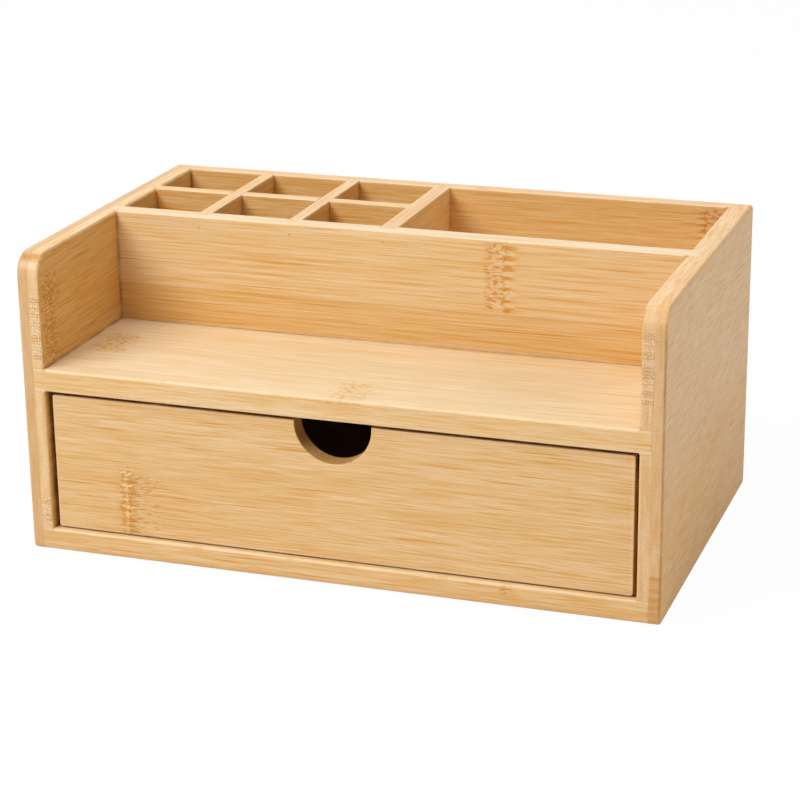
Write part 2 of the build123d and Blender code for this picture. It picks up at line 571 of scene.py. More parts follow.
@dataclass(frozen=True)
class Knuckle(Mark):
    """A joint of the cane that shows in full.

    Pale claws reach out both ways along the grain, with brown flames between them and dark pores in
    a column. Some marks have a pale band with short brown bars before the pores, or a fan of flecks.

    Attributes:
        flame: Length of the flames beyond the mark.
        fan: Length of the fan of flecks, 0 for none.
        pore_pitch: Distance from pore to pore.
        bars: Whether it has the pale band with short brown bars.
        hand: The way that the flames and the fan point.
    """

    half_width: float = 4.5 * MM
    strength: float = 1.0
    flame: float = 6 * MM
    fan: float = 0.0
    pore_pitch: float = 5 * MM
    bars: bool = False
    hand: Hand = Hand.FORWARD

    RAGS = Weave(90, 300)
    GRIT = Weave(420, 900)
    STREAMS = Weave(60, 430, 2.0, 0.6)
    FAN_FLECKS = Weave(210, 1150)
    SHORT_BARS = Weave(210, 760)
    RIM_TICKS = Weave(260, 1100)
    # How far the rags fray the mark's edges, and the length over which these fade.
    FRAY = 4 * MM
    FADE = 1.6 * MM
    # Distance in half widths at which the rays lie twice as far apart as at the mark.
    SPREAD = 16
    # Cuts through the streams in a metre, so that two marks on a board differ.
    STREAM_CUTS = 90
    # The claws follow the pores: how much they sway, and how regular they are without and with bars.
    CLAW_SWAY = 5.0
    CLAW_ORDER = 0.07
    CLAW_ORDER_IN_BARS = 0.18
    # The flames start where the streams pass a value, and are shorter behind the mark than ahead.
    FLAME_START = 0.44
    FLAME_GAIN = 4.5
    FLAME_SHORTER = 1.8
    # Places of the column of pores, of the pale band and of its rim, in half widths.
    PORE_REACH = 0.35
    BAND_BACK = 0.45
    RIM_BACK = 0.85
    PORE_RADIUS = 0.5 * MM
    PORE_JITTER = 0.45

    def paint(self, colour: Field, spot: Spot) -> Field:
        """Paints the mark over a colour.

        Args:
            colour: The colour under the mark.
            spot: The point.

        Returns:
            The colour.
        """
        patch = self._patch(spot)
        colour = self._flames(colour, patch)
        if self.fan:
            colour = self._fan_flecks(colour, patch)
        colour = self._ground(colour, patch)
        colour = self._claws(colour, patch)
        if self.bars:
            colour = self._band(colour, patch)
        return self._pores(colour, patch)

    def _patch(self, spot: Spot) -> Patch:
        """Turns to the mark's own measures.

        Args:
            spot: The point.

        Returns:
            The point as seen from the mark.
        """
        off = (spot.along - self.along) * self.hand.value
        skin = self._skin_place(spot)
        middle = (self.low + self.high) / 2
        ray = (skin - middle) / (off.at_least(0.0) / (self.SPREAD * self.half_width) + 1.0) + middle
        ragged = self.RAGS.lay(off, skin, self.low) - 0.5
        streams = self.STREAMS.lay(off, ray, self.along * self.STREAM_CUTS)
        claws = (skin * (math.tau / self.pore_pitch) + ragged * self.CLAW_SWAY).sine()
        if self.bars:
            streams = streams * 0.5 + 0.25 + claws * self.CLAW_ORDER_IN_BARS
        else:
            streams = streams + claws * self.CLAW_ORDER
        return Patch(
            shades=spot.shades,
            off=off,
            reach=off / self.half_width,
            skin=skin,
            ray=ray,
            ragged=ragged,
            grit=self.GRIT.lay(off, skin, self.high),
            streams=streams,
            inside=self._inside(skin + ragged * self.FRAY, self.FADE),
        )

    def _flames(self, colour: Field, patch: Patch) -> Field:
        """Paints the brown flames, longer ahead of the mark than behind it.

        Args:
            colour: The colour under the flames.
            patch: The point.

        Returns:
            The colour.
        """
        tongues = (patch.streams - self.FLAME_START) * self.FLAME_GAIN
        root = self.half_width * 0.3
        ahead = (tongues - (patch.off - root) / self.flame).rise(-0.1, 0.5)
        ahead = ahead * patch.off.rise(self.flame * 2.2, root) * patch.reach.rise(0.0, 0.6)
        tail = self.half_width * 0.4
        behind = (tongues + (patch.off + tail) / self.flame * self.FLAME_SHORTER).rise(-0.1, 0.6)
        behind = behind * patch.reach.rise(0.0, -0.7) * 0.8
        warmth = (abs(patch.reach) - 0.4).rise(1.8, 0.6)
        colour = colour.coat(patch.shades.streak, warmth * patch.inside, share=0.22)
        return colour.coat(patch.shades.deep, ahead.at_least(behind) * patch.inside, share=0.75)

    def _fan_flecks(self, colour: Field, patch: Patch) -> Field:
        """Paints the fan of short flecks, thickest at the mark.

        Args:
            colour: The colour under the fan.
            patch: The point.

        Returns:
            The colour.
        """
        flecks = self.FAN_FLECKS.lay(patch.off, patch.ray, self.low)
        thinning = (patch.off - self.half_width) / self.fan
        shown = (flecks - 0.48 - thinning * 0.14).rise(0.0, 0.1) * thinning.rise(1.1, 0.6)
        shown = shown * patch.off.rise(self.half_width * 0.5, self.half_width)
        return colour.coat(patch.shades.deep, shown * patch.inside, share=0.6)

    def _ground(self, colour: Field, patch: Patch) -> Field:
        """Browns the ground of the mark, with grit in it.

        Args:
            colour: The colour under the mark.
            patch: The point.

        Returns:
            The colour.
        """
        ground = (abs(patch.reach) + patch.ragged * 1.6).rise(1.0, 0.4) * patch.inside
        colour = colour.coat(patch.shades.streak, ground, share=0.5)
        return colour.coat(patch.shades.deep, ground * patch.grit.rise(0.5, 0.64), share=0.6)

    def _claws(self, colour: Field, patch: Patch) -> Field:
        """Paints the pale claws, split by the grit.

        Args:
            colour: The colour under the claws.
            patch: The point.

        Returns:
            The colour.
        """
        middle = self.PORE_REACH * 2 if self.bars else 0.0
        claws = ((0.5 - patch.streams) * 5.0 + 0.4 - abs(patch.reach - middle)).rise(0.0, 0.3)
        split = patch.grit.rise(0.66, 0.5) * 0.6 + 0.4
        return colour.coat(Stain.CLAW.value, claws * split * patch.inside, share=0.75)

    def _band(self, colour: Field, patch: Patch) -> Field:
        """Paints the pale band with its short brown bars, and the ticks at its rim.

        Args:
            colour: The colour under the band.
            patch: The point.

        Returns:
            The colour.
        """
        back = (patch.off + self.half_width * self.BAND_BACK) / self.half_width
        band = (abs(back) + patch.ragged * 0.8).rise(0.8, 0.55) * patch.inside
        bars = self.SHORT_BARS.lay(patch.off, patch.skin, self.along)
        colour = colour.coat(Stain.CLAW.value, band, share=0.6)
        colour = colour.coat(patch.shades.deep, bars.rise(0.5, 0.6) * band, share=0.75)
        rim = (abs(back + self.RIM_BACK) + patch.ragged * 0.8).rise(0.55, 0.25) * patch.inside
        ticks = self.RIM_TICKS.lay(patch.off, patch.skin, self.high)
        return colour.coat(patch.shades.deep, ticks.rise(0.52, 0.62) * rim, share=0.7)

    def _pores(self, colour: Field, patch: Patch) -> Field:
        """Paints the dark pores in their column.

        Args:
            colour: The colour under the pores.
            patch: The point.

        Returns:
            The colour.
        """
        off_column = patch.reach - self.PORE_REACH
        row = off_column * (self.half_width / self.pore_pitch)
        pores = row.tree.cells(row, patch.skin / self.pore_pitch, self.PORE_JITTER)
        size = self.PORE_RADIUS / self.pore_pitch
        shown = pores.rise(size, size * 0.4) * abs(off_column).rise(0.6, 0.35)
        return colour.coat(Stain.PORE.value, shown * patch.inside, share=0.8)


@dataclass(frozen=True)
class Flecks(Mark):
    """A faint joint of the cane, sanded down to a cloud of short flecks."""

    half_width: float = 8 * MM
    strength: float = 0.7

    CLOUD = Weave(150, 220)
    SHORT_FLECKS = Weave(330, 1000)
    FADE = 4 * MM

    def paint(self, colour: Field, spot: Spot) -> Field:
        """Paints the flecks over a colour.

        Args:
            colour: The colour under the flecks.
            spot: The point.

        Returns:
            The colour.
        """
        off = spot.along - self.along
        skin = self._skin_place(spot)
        cloud = self.CLOUD.lay(off, skin, self.low) - 0.5
        near = (abs(off) / self.half_width + cloud * 1.5).rise(1.0, 0.2) * self._inside(skin, self.FADE)
        flecks = self.SHORT_FLECKS.lay(off, skin, self.high)
        colour = colour.coat(spot.shades.streak, near, share=0.25)
        colour = colour.coat(spot.shades.deep, flecks.rise(0.5, 0.6) * near)
        return colour.coat(Stain.CLAW.value, flecks.rise(0.42, 0.34) * near, share=0.5)


@dataclass(frozen=True)
class Strip:
    """A strip of another cane, glued on across the grain.

    Attributes:
        edge: Place of the glue line across the grain, beyond which the strip lies.
        cane: The strip's cane.
        line: How plainly the glue line shows.
        blur: How far the two canes fade into each other, on either side of the line.
    """

    edge: float
    cane: Cane
    line: float = 0.3
    blur: float = 0.2 * MM

    LINE_RIM = 0.45 * MM
    LINE_CORE = 0.1 * MM

    def shades(self, shades: Palette, across: Field) -> Palette:
        """Changes the colours to the strip's beyond the glue line."""
        return shades.under(self.cane.value, across.rise(self.edge - self.blur, self.edge + self.blur))

    def paint(self, colour: Field, spot: Spot) -> Field:
        """Draws the glue line."""
        line = abs(spot.across - self.edge).rise(self.LINE_RIM, self.LINE_CORE)
        return colour.coat(Stain.GLUE.value, line, share=self.line)


@dataclass(frozen=True)
class Ply:
    """The glue line between the two layers of a thick board.

    Attributes:
        place: Place of the glue line through the board.
        tone: How much darker the layer beyond it is, or the layer before it where negative.
    """

    place: float
    tone: float

    LINE_RIM = 0.35 * MM
    LINE_CORE = 0.1 * MM
    LINE_SHARE = 0.12
    STEP = 0.2 * MM

    def paint(self, colour: Field, spot: Spot) -> Field:
        """Draws the glue line and darkens one of the layers.

        Args:
            colour: The colour under the line.
            spot: The point.

        Returns:
            The colour.
        """
        step = math.copysign(self.STEP, self.tone)
        darker = spot.through.rise(self.place - step, self.place + step) * abs(self.tone)
        line = abs(spot.through - self.place).rise(self.LINE_RIM, self.LINE_CORE) * self.LINE_SHARE
        return colour.coat(Stain.GLUE.value, darker.at_least(line))


@dataclass(frozen=True)
class Seam:
    """The dark line along which another board meets a face: painted contact shade, with some soil in it.

    Attributes:
        axis: Direction across the line.
        place: Place of the other board's face along that direction.
        skin: Place of the face that bears the line, through the board.
        strength: How plainly it shows.
        reach: How far the line spreads over the face.
        top: Height above the floor at which it ends.
    """

    axis: Axis
    place: float
    skin: float
    strength: float = 0.5
    reach: float = 2 * MM
    top: float = 1.0

    SKIN_RIM = 1.5 * MM
    SKIN_CORE = 0.5 * MM
    TOP_FADE = 1 * MM

    def paint(self, colour: Field, spot: Spot, blotches: Field) -> Field:
        """Draws the line of painted contact shade and soil.

        Args:
            colour: The colour under the line.
            spot: The point.
            blotches: Noise that breaks up the line of painted shade and soil.

        Returns:
            The colour.
        """
        near = abs(spot.place[self.axis.value] - self.place).rise(self.reach, 0.0)
        near = near * abs(spot.through - self.skin).rise(self.SKIN_RIM, self.SKIN_CORE) * blotches.rise(0.2, 0.6)
        near = near * spot.place[Axis.UP.value].rise(self.top, self.top - self.TOP_FADE)
        # Paints contact shade, with some soil, along the line where the boards meet.
        return colour.coat(Stain.SOIL.value, near, share=self.strength)


@dataclass(frozen=True)
class Stub:
    """A cut end of a strip in which the bundles of fibres show as rows of dots.

    Attributes:
        near: Lower edge through the board.
        far: Upper edge through the board.
        low: Lower edge across the grain.
        high: Upper edge across the grain.
        strength: How plainly the dots show.
        warmth: How much darker its ground is than the rest of the end.
    """

    near: float
    far: float
    low: float
    high: float
    strength: float = 1.0
    warmth: float = 0.0

    FADE_THROUGH = 0.4 * MM
    FADE_ACROSS = 0.6 * MM

    def paint(self, colour: Field, spot: Spot, shades: Palette, rows: Field, dots: Field) -> Field:
        """Paints the ground and the dots over a cut end.

        Args:
            colour: The colour of the end.
            spot: The point.
            shades: The colours of the end's cane.
            rows: Noise that changes from row to row of the dots.
            dots: Distance to the nearest dot's centre, in distances from dot to dot.

        Returns:
            The colour.
        """
        inside = spot.through.within(self.near, self.far, self.FADE_THROUGH)
        inside = inside * spot.across.within(self.low, self.high, self.FADE_ACROSS)
        colour = colour.coat(shades.streak, inside, share=self.warmth)
        inside = inside * self.strength
        colour = colour.coat(Stain.WORN.value, inside * rows.rise(0.6, 0.4), share=0.6)
        boldness = rows.rise(0.35, 0.6) * 0.35 + 0.5
        return colour.coat(shades.deep, inside * dots.rise(0.46, 0.22) * boldness)


# --------------------------------------------------------------------------------------------------
# Finishes
# --------------------------------------------------------------------------------------------------


@dataclass(frozen=True)
class BambooFinish:
    """Sanded bamboo under a satin clear coat.

    Attributes:
        name: Name of the material.
        grain: Direction of the fibres.
        face: Direction across the fibres, on the board's broad face.
        seed: Sets where the pattern is cut from the cane, so that no two boards match.
        cane: The cane of the board, or of its first strip.
        end_cane: The cane as it looks on the cut ends.
        crown_painted_light: The cane of an upright board's top edge, which paints the light that falls there:
            paler for a sheen, darker for the shade in a gap.
        lines: Strength of the fine lines.
        streaks: Strength of the dark streaks.
        length: How long the fibres are, 1 for the usual ones.
        pitch: How far apart the fibres lie, 1 for the usual ones.
        strips: Further strips across the board.
        plies: Glue lines between the board's layers.
        marks: Marks of the cane's joints.
        stubs: Dotted cut ends.
        seams: Lines along which other boards meet it.
        wear_and_highlight: How pale the sanded edges are, with the painted highlight on them, 0 for no paler.
        ends_worn_and_highlit: Whether the edges round the cut ends are paled and get the painted highlight
            too, as on a board that is not let in.
    """

    name: str
    grain: Axis
    face: Axis
    seed: float
    cane: Cane = Cane.HONEY
    end_cane: Cane = Cane.HONEY
    crown_painted_light: Cane = Cane.HONEY
    lines: float = 1.0
    streaks: float = 1.0
    length: float = 1.0
    pitch: float = 1.0
    strips: tuple[Strip, ...] = ()
    plies: tuple[Ply, ...] = ()
    marks: tuple[Mark, ...] = ()
    stubs: tuple[Stub, ...] = ()
    seams: tuple[Seam, ...] = ()
    wear_and_highlight: float = 0.3
    ends_worn_and_highlit: bool = False

    # Patterns of the fibres on the faces, from the widest to the finest.
    CLOUDS = Weave(9, 100, 3.0, 0.6)
    BUNDLES = Weave(18, 700, 2.0, 0.6)
    NEEDLES = Weave(30, 1300, 2.0, 0.6)
    HAIRS = Weave(42, 2600, 2.0, 0.6)
    # Waves in which the fibres sway, each with its width.
    SWAYS = ((Weave(4, 7), 3 * MM), (Weave(26, 60), 0.2 * MM))
    # Patterns on the cut ends, through the board and across the grain.
    END_STREAKS = Weave(900, 70, 2.0)
    END_CLOUDS = Weave(260, 45)
    END_SPECKS = Weave(1500, 1100)
    # How squarely the surface of a cut end or a top edge faces its way, where it starts and is full.
    END_FACING = (0.6, 0.9)
    CROWN_FACING = (0.85, 0.98)
    # Rows of dots on the cut ends, and the dots in a metre through the board and across the grain.
    END_ROWS = 330
    DOTS_THROUGH = 1050
    DOTS_ACROSS = 640
    DOT_JITTER = 0.45
    # How often the painted shade and soil in the seams, and the wear and painted highlight of the edges,
    # change in a metre.
    SEAM_PATCHES = 90
    EDGE_PATCHES = 120
    EDGE_RIM = 1.9 * MM
    EDGE_CORE = 0.8 * MM
    # The satin coat, duller over the needles, and how high these stand.
    GLOSSY = 0.36
    DULL = 0.48
    COAT_IOR = 1.5
    NEEDLE_HEIGHT = 0.01 * MM

    def material(self, box: Box) -> bpy.types.Material:
        """Builds the finish.

        Args:
            box: The board's lowest and highest corners, between which its edges lie.

        Returns:
            The material.
        """
        recipe = Recipe(self.name)
        place = recipe.place()
        facing = recipe.facing()
        through = next(axis for axis in Axis if axis not in (self.grain, self.face))
        across = place[self.face.value]
        shades = self._shades(across, facing[Axis.UP.value])
        spot = Spot(shades, place, place[self.grain.value], across, place[through.value])

        colour, needles = self._fibres(spot)
        for mark in self.marks:
            colour = mark.paint(colour, spot)
        ends = abs(facing[self.grain.value]).rise(*self.END_FACING)
        colour = colour.coat(self._cut_ends(spot), ends)
        for layer in (*self.strips, *self.plies):
            colour = layer.paint(colour, spot)
        blotches = recipe.noise(*(value * self.SEAM_PATCHES for value in place))
        # The seams paint contact shade, with some soil, where other boards meet this one.
        for seam in self.seams:
            colour = seam.paint(colour, spot, blotches)
        colour = self._worn_and_highlit_edges(colour, spot, box)

        recipe.set("Base Color", colour)
        recipe.set("Roughness", needles.spread(0.3, 0.7, self.GLOSSY, self.DULL))
        recipe.set("IOR", self.COAT_IOR)
        recipe.relief(needles, self.NEEDLE_HEIGHT)
        return recipe.material

    def _shades(self, across: Field, upward: Field) -> Palette:
        """Gives the colours of the cane, which change from strip to strip, and on the top edge, where they
        paint the light that falls there.

        Args:
            across: Place across the grain.
            upward: How far the surface faces up, from -1 to 1.

        Returns:
            The colours.
        """
        shades = self.cane.value
        for strip in self.strips:
            shades = strip.shades(shades, across)
        if self.face is Axis.UP:
            # The top edge's own cane is painted light: a paler one paints its sheen, a darker one the shade
            # in a gap.
            shades = shades.under(self.crown_painted_light.value, upward.rise(*self.CROWN_FACING))
        return shades

    def _fibres(self, spot: Spot) -> tuple[Field, Field]:
        """Lays the fibres: soft clouds, needles, hair lines and thin dark streaks.

        Args:
            spot: The point.

        Returns:
            The colour, and the needles' field.
        """
        along = (spot.along + self.seed) / self.length
        across = self._swayed(spot) / self.pitch
        through = spot.through / self.pitch
        clouds, bundles, needles, hairs = (
            weave.lay(along, across, through * weave.across)
            for weave in (self.CLOUDS, self.BUNDLES, self.NEEDLES, self.HAIRS)
        )
        shades = spot.shades
        slim = needles.rise(0.42, 0.56) * 0.8 + 0.2
        coats = (
            (shades.streak, needles.rise(0.47, 0.66), 0.5 * self.lines),
            (shades.pale, needles.rise(0.47, 0.32), 0.4 * self.lines),
            (shades.streak, hairs.rise(0.46, 0.62), 0.6 * self.lines),
            (shades.pale, hairs.rise(0.44, 0.3), 0.5 * self.lines),
            (shades.streak, bundles.rise(0.55, 0.68) * slim, 0.7 * self.streaks),
            (shades.deep, bundles.rise(0.62, 0.74) * slim, 0.35 * self.streaks),
        )
        colour = clouds.rise(0.32, 0.68).mix(shades.pale, shades.body)
        for tone, where, share in coats:
            colour = colour.coat(tone, where, share)
        return colour, needles

    def _swayed(self, spot: Spot) -> Field:
        """Gives the place across the grain, with the fibres' sway.

        Args:
            spot: The point.

        Returns:
            The place.
        """
        swayed = spot.across
        for weave, width in self.SWAYS:
            along = spot.along * weave.along + self.seed
            across, through = spot.across * weave.across, spot.through * weave.across
            wave = swayed.tree.noise(along, across, through, weave.detail) - 0.5
            swayed = swayed + wave * width
        return swayed

    def _cut_ends(self, spot: Spot) -> Field:
        """Gives the colour of the cut ends of the fibres.

        Args:
            spot: The point.

        Returns:
            The colour.
        """
        shades = self.end_cane.value
        across, through = spot.across, spot.through
        streaks = self.END_STREAKS.lay(through, across, self.seed)
        clouds = self.END_CLOUDS.lay(through, across, self.seed + 2)
        specks = self.END_SPECKS.lay(through, across, self.seed)
        colour = clouds.rise(0.35, 0.7).mix(shades.pale, shades.body)
        colour = colour.coat(shades.streak, streaks.rise(0.44, 0.7), share=0.3)
        colour = colour.coat(shades.streak, specks.rise(0.48, 0.7), share=0.4)
        rows = across.tree.noise(0.0, across * self.END_ROWS, self.seed + 4, 1.0)
        dots = across.tree.cells(through * self.DOTS_THROUGH, across * self.DOTS_ACROSS, self.DOT_JITTER)
        for stub in self.stubs:
            colour = stub.paint(colour, spot, shades, rows, dots)
        return colour

    def _worn_and_highlit_edges(self, colour: Field, spot: Spot, box: Box) -> Field:
        """Pales the sanded edges, where the coat is thin, and paints a highlight on them.

        Args:
            colour: The colour under the wear.
            spot: The point.
            box: The board's lowest and highest corners.

        Returns:
            The colour.
        """
        reaches = [(value - low).at_most(high - value) for value, low, high in zip(spot.place, *box)]
        end = reaches.pop(self.grain.value)
        first, second = reaches
        corner = first + second
        if self.ends_worn_and_highlit:
            corner = corner.at_most(end + first.at_most(second))
        edge_patches = corner.tree.noise(*(value * self.EDGE_PATCHES for value in spot.place))
        worn_and_highlit = corner.rise(self.EDGE_RIM, self.EDGE_CORE) * edge_patches.rise(0.2, 0.5)
        # The paler edges are partly sanded wear and partly a painted highlight on the rounding.
        return colour.coat(Stain.WORN.value, worn_and_highlit, share=self.wear_and_highlight)


@dataclass(frozen=True)
class RubberFinish:
    """Translucent grey rubber of the pads.

    Attributes:
        name: Name of the material.
        clean: Its colour.
        dusty: Its colour where dust lies in it.
        soiled: Its colour where it is soiled.
        grit: Grains in a metre.
        patches: Patches of soil in a metre.
        relief: Height of the grains.
    """

    name: str
    clean: Colour = linear(196, 193, 186)
    dusty: Colour = linear(170, 166, 158)
    soiled: Colour = linear(150, 142, 128)
    grit: float = 1400
    patches: float = 240
    relief: float = 0.05 * MM

    def material(self, box: Box) -> bpy.types.Material:
        """Builds the finish, darker towards the pad's foot.

        Args:
            box: The pad's lowest and highest corners.

        Returns:
            The material.
        """
        recipe = Recipe(self.name)
        place = recipe.place()
        grit = recipe.noise(*(value * self.grit for value in place), 3.0, 0.6)
        blotches = recipe.noise(*(value * self.patches for value in place)).rise(0.45, 0.8) * 0.4
        foot = place[Axis.UP.value].rise(box[1].z, box[0].z) * 0.3
        rubber = (grit.rise(0.35, 0.75) * 0.3).mix(self.clean, self.dusty)
        recipe.set("Base Color", rubber.coat(self.soiled, blotches + foot))
        recipe.set("Roughness", grit.spread(0.3, 0.7, 0.55, 0.75))
        recipe.relief(grit, self.relief)
        return recipe.material


@dataclass(frozen=True)
class SteelFinish:
    """Dulled steel of a brad's head, under a smear of filler.

    Attributes:
        name: Name of the material.
        bright: Its colour.
        dull: Its colour where it is tarnished.
        grain: Spots of tarnish in a metre.
        metallic: How much of the metal shows through the filler.
    """

    name: str = "brad_steel"
    bright: Colour = linear(220, 177, 125)
    dull: Colour = linear(196, 152, 100)
    grain: float = 2500
    metallic: float = 0.25

    def material(self) -> bpy.types.Material:
        """Builds the finish.

        Returns:
            The material.
        """
        recipe = Recipe(self.name)
        tarnish = recipe.noise(*(value * self.grain for value in recipe.place()), 3.0, 0.6)
        recipe.set("Base Color", tarnish.rise(0.35, 0.7).mix(self.bright, self.dull))
        recipe.set("Roughness", tarnish.spread(0.3, 0.7, 0.35, 0.6))
        recipe.set("Metallic", self.metallic)
        return recipe.material


# --------------------------------------------------------------------------------------------------
# Sub-assemblies
# --------------------------------------------------------------------------------------------------


def dress(node: str, finish: BambooFinish | RubberFinish) -> None:
    """Gives a board or pad of the frame its finish.

    Args:
        node: Name of the board or pad.
        finish: Its finish.
    """
    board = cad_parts[node]
    board.data.materials.clear()
    board.data.materials.append(finish.material(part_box(node)))
    log.info("dressed %s in %s", node, finish.name)


@dataclass
class Case:
    """The two side panels, the shelf, the base, the back panel and the tray wall.

    Attributes:
        slot: The record's material slot; not used.
        shelf_lip: How far the warmer tone of its front edge reaches into the shelf.
        base_lip: How far the warmer tone of its front edge reaches into the base.
        drawer_lip: How far behind the drawer's face the painted shade in the gap round it is darkest.
        right_strip: Height above the floor at which the right panel's upper strip begins.
        back_strip: Height above the floor at which the back panel's upper strip begins.
        wall_strip: Height above the shelf at which the tray wall's upper strip begins.
    """

    slot: str = "bamboo_case"
    shelf_lip: float = 1.5 * MM
    base_lip: float = 1.2 * MM
    drawer_lip: float = 2 * MM
    right_strip: float = 70 * MM
    back_strip: float = 46 * MM
    wall_strip: float = 20 * MM

    def dress(self) -> None:
        """Gives every board of the case its finish."""
        boards = {
            "side_panel_left": self._left_finish(),
            "side_panel_right": self._right_finish(),
            "shelf": self._shelf_finish(),
            "base": self._base_finish(),
            "back_panel": self._back_finish(),
            "tray_wall": self._wall_finish(),
        }
        for node, finish in boards.items():
            dress(node, finish)

    def _gap_shade_place(self) -> float:
        """Gives the depth at which the painted shade in the gap round the drawer is darkest."""
        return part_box("drawer_front")[0].y + self.drawer_lip

    def _housings(self, skin: float) -> tuple[Seam, ...]:
        """Gives the lines along which the other boards enter a side panel.

        Args:
            skin: Place of the side panel's inner face.

        Returns:
            The lines of the shelf, the tray wall and the back panel.
        """
        wall_low, wall_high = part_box("tray_wall")
        edges = (wall_low.y, wall_high.y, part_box("back_panel")[0].y)
        return (Seam(Axis.UP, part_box("shelf")[1].z, skin), *(Seam(Axis.DEEP, edge, skin) for edge in edges))

    def _between_sides(self, skin: float, right_strength: float = 0.5) -> tuple[Seam, Seam]:
        """Gives the lines along which a board's face meets the two side panels.

        Args:
            skin: Place of the board's face, through the board.
            right_strength: How plainly the line at the right panel shows.

        Returns:
            The lines at the left and at the right panel.
        """
        left = Seam(Axis.ACROSS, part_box("side_panel_left")[1].x, skin)
        right = Seam(Axis.ACROSS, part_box("side_panel_right")[0].x, skin, strength=right_strength)
        return left, right

    def _left_finish(self) -> BambooFinish:
        """Gives the left side panel's finish, in which the outer layer is the darker one.

        Returns:
            The finish.
        """
        low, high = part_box("side_panel_left")
        ply = (low.x + high.x) / 2
        # Painted shade in the gap round the drawer, on the panel's inner face.
        gap = Seam(Axis.DEEP, self._gap_shade_place(), high.x, reach=4 * MM, top=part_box("shelf")[0].z)
        return BambooFinish(
            "bamboo_side_left", Axis.DEEP, Axis.UP, 1.3,
            cane=Cane.RUSSET, end_cane=Cane.SAND, crown_painted_light=Cane.FLAX,
            plies=(Ply(ply, -0.4),),
            marks=(
                Knuckle(
                    -91 * MM, 103 * MM, 142 * MM, high.x, half_width=5 * MM, strength=0.4,
                    fan=16 * MM, pore_pitch=3 * MM,
                ),
                Flecks(-90 * MM, 98 * MM, 147 * MM, high.x, half_width=12 * MM, strength=0.75),
                Flecks(38 * MM, 22 * MM, 60 * MM, low.x, half_width=9 * MM, strength=0.5),
            ),
            stubs=(
                Stub(ply, high.x, 104 * MM, 137 * MM),
                Stub(ply, high.x, 15 * MM, 31 * MM, strength=0.9),
            ),
            seams=(*self._housings(high.x), gap),
        )

    def _right_finish(self) -> BambooFinish:
        """Gives the right side panel's finish, in which the outer layer is a little darker.

        Returns:
            The finish.
        """
        low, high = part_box("side_panel_right")
        ply = (low.x + high.x) / 2
        return BambooFinish(
            "bamboo_side_right", Axis.DEEP, Axis.UP, 2.7,
            cane=Cane.AMBER, end_cane=Cane.TAN, crown_painted_light=Cane.FLAX,
            lines=1.35, streaks=0.4, length=0.7, pitch=0.65, wear_and_highlight=0.1,
            strips=(Strip(self.right_strip, Cane.SAND, line=0.0, blur=8 * MM),),
            plies=(Ply(ply, 0.15),),
            marks=(
                Flecks(-52 * MM, 134 * MM, 160 * MM, high.x, half_width=7 * MM, strength=0.3),
                Flecks(89.5 * MM, 94 * MM, 106 * MM, high.x, half_width=3 * MM, strength=0.4),
            ),
            stubs=(
                Stub(low.x, ply + 0.6 * MM, 111 * MM, 147 * MM, strength=0.7),
                Stub(ply, high.x, 0.0, 27 * MM, strength=0.4, warmth=0.65),
            ),
            seams=(
                *self._housings(low.x),
                # Painted shade along the rounded front and top corners of the outer face.
                Seam(Axis.DEEP, low.y, high.x),
                Seam(Axis.UP, high.z, high.x, strength=0.15),
            ),
        )

    def _shelf_finish(self) -> BambooFinish:
        """Gives the shelf's finish, with painted contact shade and soil along everything that stands on it,
        and painted shade on its underside over the drawer's gap.

        Returns:
            The finish.
        """
        low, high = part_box("shelf")
        wall_low, wall_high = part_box("tray_wall")
        return BambooFinish(
            "bamboo_shelf", Axis.ACROSS, Axis.DEEP, 3.1,
            cane=Cane.FLAX, lines=0.72, streaks=0.4, wear_and_highlight=0.6,
            strips=(Strip(low.y + self.shelf_lip, Cane.CREAM, line=0.0),),
            marks=(
                Flecks(-138 * MM, -64 * MM, -34 * MM, high.z, half_width=13 * MM, strength=1.0),
                Flecks(7 * MM, -102 * MM, -73 * MM, high.z, half_width=13 * MM, strength=0.65),
            ),
            seams=(
                *self._between_sides(high.z, right_strength=0.3),
                Seam(Axis.DEEP, wall_low.y, high.z, strength=0.3),
                Seam(Axis.DEEP, wall_high.y, high.z),
                Seam(Axis.DEEP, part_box("back_panel")[0].y, high.z),
                # Painted shade on the shelf's underside, which darkens the gap over the drawer.
                Seam(Axis.DEEP, low.y + 5 * MM, low.z, strength=1.0, reach=4.5 * MM),
            ),
        )

    def _base_finish(self) -> BambooFinish:
        """Gives the base's finish.

        Returns:
            The finish.
        """
        low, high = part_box("base")
        return BambooFinish(
            "bamboo_base", Axis.ACROSS, Axis.DEEP, 4.9, lines=0.85, wear_and_highlight=0.6,
            strips=(Strip(low.y + self.base_lip, Cane.CREAM, line=0.0),),
            # Painted shade in the gap under the drawer.
            seams=(Seam(Axis.DEEP, self._gap_shade_place(), high.z, strength=0.8),),
            marks=(Flecks(89 * MM, low.y - 5 * MM, low.y + 2 * MM, high.z, half_width=6 * MM, strength=0.6),),
        )

